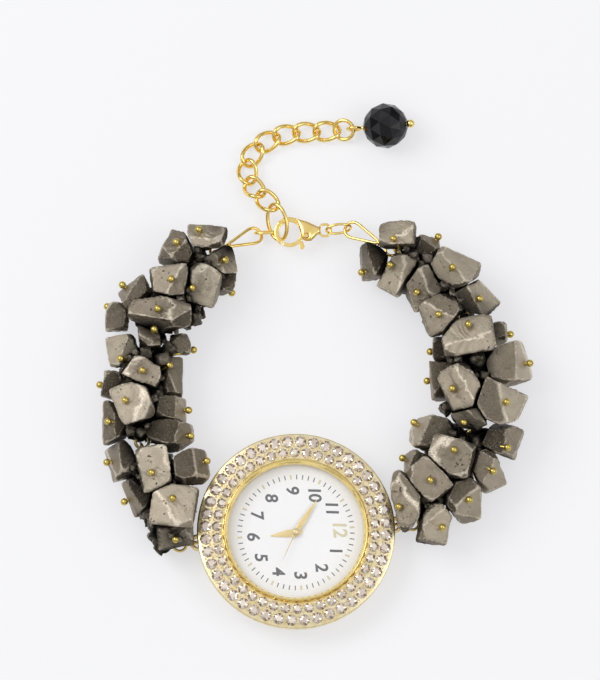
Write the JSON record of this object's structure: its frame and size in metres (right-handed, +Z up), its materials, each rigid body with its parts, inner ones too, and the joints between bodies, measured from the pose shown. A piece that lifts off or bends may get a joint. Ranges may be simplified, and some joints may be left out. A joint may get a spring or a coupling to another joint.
{
  "type": "bead watch band",
  "caption": "Bracelet watch: a round stone-set watch head on two strands of pinned tumbled stones, closed by a lobster clasp and an extender chain with a bead.",
  "frame": {"origin": "centre of the case back on the table", "axes": "+Z up through the dial, +X from 6 to 12 o'clock along the lugs, +Y from the dial toward the clasp"},
  "size_m": [0.0882, 0.1065, 0.0148],
  "materials": {
    "gold_plate": "pale gold plating, polished",
    "brass_wire": "bright brass wire",
    "tumbled_stone": "satin metallic grey-brown stone, worn edges brighter",
    "cut_stone": "foil-backed cut glass",
    "crystal_glass": "clear and flat",
    "dial_white": "white, matte",
    "movement_metal": "satin nickel",
    "holder_plastic": "matte moulded",
    "black_bead": "black, faceted, glossy"
  },
  "bodies": {
    "watch_head": {"case_band": "gold_plate", "case_back": "gold_plate", "bezel": "gold_plate", "bezel_stones_outer": "cut_stone", "bezel_stones_inner": "cut_stone", "crystal": "crystal_glass", "dial": "dial_white", "movement": "movement_metal", "movement_holder": "holder_plastic", "battery": "movement_metal"},
    "setting_lever": {"setting_lever": "movement_metal"},
    "crown": {"crown": "gold_plate", "setting_stem": "movement_metal"},
    "hour_hand": {"hour_hand": "gold_plate"},
    "minute_hand": {"minute_hand": "gold_plate"},
    "second_hand": {"second_hand": "gold_plate"},
    "lug_ring_left": {"lug_ring_left": "gold_plate"},
    "strand_left_1": {"core_left_1": "brass_wire", "stones_left_1": "tumbled_stone", "pins_left_1": "brass_wire"},
    "strand_left_2": {"core_left_2": "brass_wire", "stones_left_2": "tumbled_stone", "pins_left_2": "brass_wire"},
    "strand_left_3": {"core_left_3": "brass_wire", "stones_left_3": "tumbled_stone", "pins_left_3": "brass_wire"},
    "teardrop_left": {"teardrop_left": "gold_plate"},
    "oval_left": {"oval_link_left": "gold_plate"},
    "link_1": {"extender_link_1": "gold_plate"},
    "lug_ring_right": {"lug_ring_right": "gold_plate"},
    "strand_right_1": {"core_right_1": "brass_wire", "stones_right_1": "tumbled_stone", "pins_right_1": "brass_wire"},
    "strand_right_2": {"core_right_2": "brass_wire", "stones_right_2": "tumbled_stone", "pins_right_2": "brass_wire"},
    "strand_right_3": {"core_right_3": "brass_wire", "stones_right_3": "tumbled_stone", "pins_right_3": "brass_wire"},
    "teardrop_right": {"teardrop_right": "gold_plate"},
    "oval_right": {"oval_link_right": "gold_plate"},
    "clasp": {"clasp_body": "gold_plate", "clasp_rivet": "gold_plate"},
    "link_2": {"extender_link_2": "gold_plate"},
    "link_3": {"extender_link_3": "gold_plate"},
    "link_4": {"extender_link_4": "gold_plate"},
    "link_5": {"extender_link_5": "gold_plate"},
    "link_6": {"extender_link_6": "gold_plate"},
    "link_7": {"extender_link_7": "gold_plate"},
    "link_8": {"extender_link_8": "gold_plate"},
    "link_9": {"extender_link_9": "gold_plate"},
    "end_ring": {"extender_end_ring": "gold_plate"},
    "headpin": {"bead_headpin": "gold_plate"},
    "bead": {"bead": "black_bead"},
    "clasp_lever": {"clasp_lever": "gold_plate"}
  },
  "joints": [
    {"name": "setting_pull", "type": "slide", "parent": "watch_head", "child": "setting_lever", "axis": [0, -1, 0], "range_m": [0, 0.0008]},
    {"name": "crown_turn", "type": "hinge", "parent": "setting_lever", "child": "crown", "pos_m": [0, -0.0176, 0.0026], "axis": [0, -1, 0], "continuous": true},
    {"name": "second_hand_turn", "type": "hinge", "parent": "watch_head", "child": "second_hand", "pos_m": [0, 0, 0.00555], "axis": [0, 0, -1], "continuous": true},
    {"name": "minute_hand_turn", "type": "hinge", "parent": "watch_head", "child": "minute_hand", "pos_m": [0, 0, 0.0052], "axis": [0, 0, -1], "continuous": true},
    {"name": "hour_hand_turn", "type": "hinge", "parent": "watch_head", "child": "hour_hand", "pos_m": [0, 0, 0.00485], "axis": [0, 0, -1], "continuous": true},
    {"name": "lug_swing_left", "type": "hinge", "parent": "watch_head", "child": "lug_ring_left", "pos_m": [-0.0207, 0, 0.0032], "axis": [1, 0, 0], "range_deg": [-45, 45]},
    {"name": "strand_swing_left", "type": "hinge", "parent": "lug_ring_left", "child": "strand_left_1", "pos_m": [-0.02266, 0, 0.0032], "axis": [1, 0, 0], "range_deg": [-45, 45]},
    {"name": "strand_bend_left_1", "type": "hinge", "parent": "strand_left_1", "child": "strand_left_2", "pos_m": [-0.02937, 0.02013, 0.0068], "axis": [0, 0, 1], "range_deg": [-1.58, 1.58]},
    {"name": "strand_bend_left_2", "type": "hinge", "parent": "strand_left_2", "child": "strand_left_3", "pos_m": [-0.02638, 0.04151, 0.007], "axis": [0, 0, 1], "range_deg": [-2.86, 2.86]},
    {"name": "end_bend_left", "type": "hinge", "parent": "strand_left_3", "child": "teardrop_left", "pos_m": [-0.01141, 0.05849, 0.00612], "axis": [0, 0, 1], "range_deg": [-1.71, 1.71]},
    {"name": "oval_turn_left", "type": "hinge", "parent": "teardrop_left", "child": "oval_left", "pos_m": [-0.00198, 0.0627, 0.00165], "axis": [0, 0, 1], "range_deg": [-0.71, 0.71]},
    {"name": "first_link_turn", "type": "hinge", "parent": "oval_left", "child": "link_1", "pos_m": [0.00211, 0.06253, 0.0016], "axis": [0, 0, 1], "range_deg": [-2.28, 2.28]},
    {"name": "lug_swing_right", "type": "hinge", "parent": "watch_head", "child": "lug_ring_right", "pos_m": [0.0207, 0, 0.0032], "axis": [1, 0, 0], "range_deg": [-45, 45]},
    {"name": "strand_swing_right", "type": "hinge", "parent": "lug_ring_right", "child": "strand_right_1", "pos_m": [0.02266, 0, 0.0032], "axis": [1, 0, 0], "range_deg": [-45, 45]},
    {"name": "strand_bend_right_1", "type": "hinge", "parent": "strand_right_1", "child": "strand_right_2", "pos_m": [0.03736, 0.01787, 0.0068], "axis": [0, 0, 1], "range_deg": [-1.71, 1.71]},
    {"name": "strand_bend_right_2", "type": "hinge", "parent": "strand_right_2", "child": "strand_right_3", "pos_m": [0.03857, 0.03962, 0.007], "axis": [0, 0, 1], "range_deg": [-3, 3]},
    {"name": "end_bend_right", "type": "hinge", "parent": "strand_right_3", "child": "teardrop_right", "pos_m": [0.02543, 0.05548, 0.00612], "axis": [0, 0, 1], "range_deg": [-1.4, 1.4]},
    {"name": "oval_turn_right", "type": "hinge", "parent": "teardrop_right", "child": "oval_right", "pos_m": [0.01641, 0.0619, 0.0033], "axis": [0, 0, 1], "range_deg": [-0.59, 0.59]},
    {"name": "clasp_turn", "type": "hinge", "parent": "oval_right", "child": "clasp", "pos_m": [0.01235, 0.06162, 0.00343], "axis": [0, 0, 1], "range_deg": [-2.1, 2.1]},
    {"name": "link_turn_2", "type": "hinge", "parent": "link_1", "child": "link_2", "pos_m": [0.0019, 0.06713, 0.00412], "axis": [0, 0, 1], "range_deg": [-3, 7]},
    {"name": "link_turn_3", "type": "hinge", "parent": "link_2", "child": "link_3", "pos_m": [-0.00088, 0.07013, 0.0034], "axis": [0, 0, 1], "range_deg": [-3, 7]},
    {"name": "link_turn_4", "type": "hinge", "parent": "link_3", "child": "link_4", "pos_m": [-0.00297, 0.07339, 0.0019], "axis": [0, 0, 1], "range_deg": [-3, 7]},
    {"name": "link_turn_5", "type": "hinge", "parent": "link_4", "child": "link_5", "pos_m": [-0.00287, 0.07748, 0.00125], "axis": [0, 0, 1], "range_deg": [-3, 7]},
    {"name": "link_turn_6", "type": "hinge", "parent": "link_5", "child": "link_6", "pos_m": [-0.00019, 0.08065, 0.00125], "axis": [0, 0, 1], "range_deg": [-3, 7]},
    {"name": "link_turn_7", "type": "hinge", "parent": "link_6", "child": "link_7", "pos_m": [0.00361, 0.08232, 0.00125], "axis": [0, 0, 1], "range_deg": [-3, 7]},
    {"name": "link_turn_8", "type": "hinge", "parent": "link_7", "child": "link_8", "pos_m": [0.00774, 0.08273, 0.00125], "axis": [0, 0, 1], "range_deg": [-3, 7]},
    {"name": "link_turn_9", "type": "hinge", "parent": "link_8", "child": "link_9", "pos_m": [0.01189, 0.08252, 0.00125], "axis": [0, 0, 1], "range_deg": [-3, 7]},
    {"name": "end_ring_turn", "type": "hinge", "parent": "link_9", "child": "end_ring", "pos_m": [0.01603, 0.08239, 0.00125], "axis": [0, 0, 1], "range_deg": [-3, 7]},
    {"name": "headpin_turn", "type": "hinge", "parent": "end_ring", "child": "headpin", "pos_m": [0.01872, 0.08223, 0.00234], "axis": [0, 0, 1], "range_deg": [-3, 7]},
    {"name": "bead_spin", "type": "hinge", "parent": "headpin", "child": "bead", "pos_m": [0.02581, 0.08182, 0.00443], "axis": [0.9576, -0.0552, 0.2826], "continuous": true},
    {"name": "clasp_lever_turn", "type": "hinge", "parent": "clasp", "child": "clasp_lever", "pos_m": [0.00769, 0.06075, 0.00345], "axis": [0, 0, 1], "range_deg": [0, 25], "stiffness_Nm_per_rad": 0.002}
  ],
  "couplings": [
    {"joint": "minute_hand_turn", "follows": "second_hand_turn", "ratio": 0.016667},
    {"joint": "hour_hand_turn", "follows": "second_hand_turn", "ratio": 0.0013889},
    {"joint": "strand_bend_left_2", "follows": "strand_bend_left_1", "ratio": -1.8062},
    {"joint": "end_bend_left", "follows": "strand_bend_left_1", "ratio": -1.0765},
    {"joint": "oval_turn_left", "follows": "strand_bend_left_1", "ratio": 0.44711},
    {"joint": "first_link_turn", "follows": "strand_bend_left_1", "ratio": 1.4357},
    {"joint": "strand_bend_right_1", "follows": "strand_bend_left_1", "ratio": -1.0775},
    {"joint": "strand_bend_right_2", "follows": "strand_bend_left_1", "ratio": 1.893},
    {"joint": "end_bend_right", "follows": "strand_bend_left_1", "ratio": 0.88013},
    {"joint": "oval_turn_right", "follows": "strand_bend_left_1", "ratio": -0.36964},
    {"joint": "clasp_turn", "follows": "strand_bend_left_1", "ratio": -1.326},
    {"joint": "strand_swing_left", "follows": "lug_swing_left", "ratio": 1},
    {"joint": "lug_swing_right", "follows": "lug_swing_left", "ratio": 1},
    {"joint": "strand_swing_right", "follows": "lug_swing_left", "ratio": 1}
  ]
}
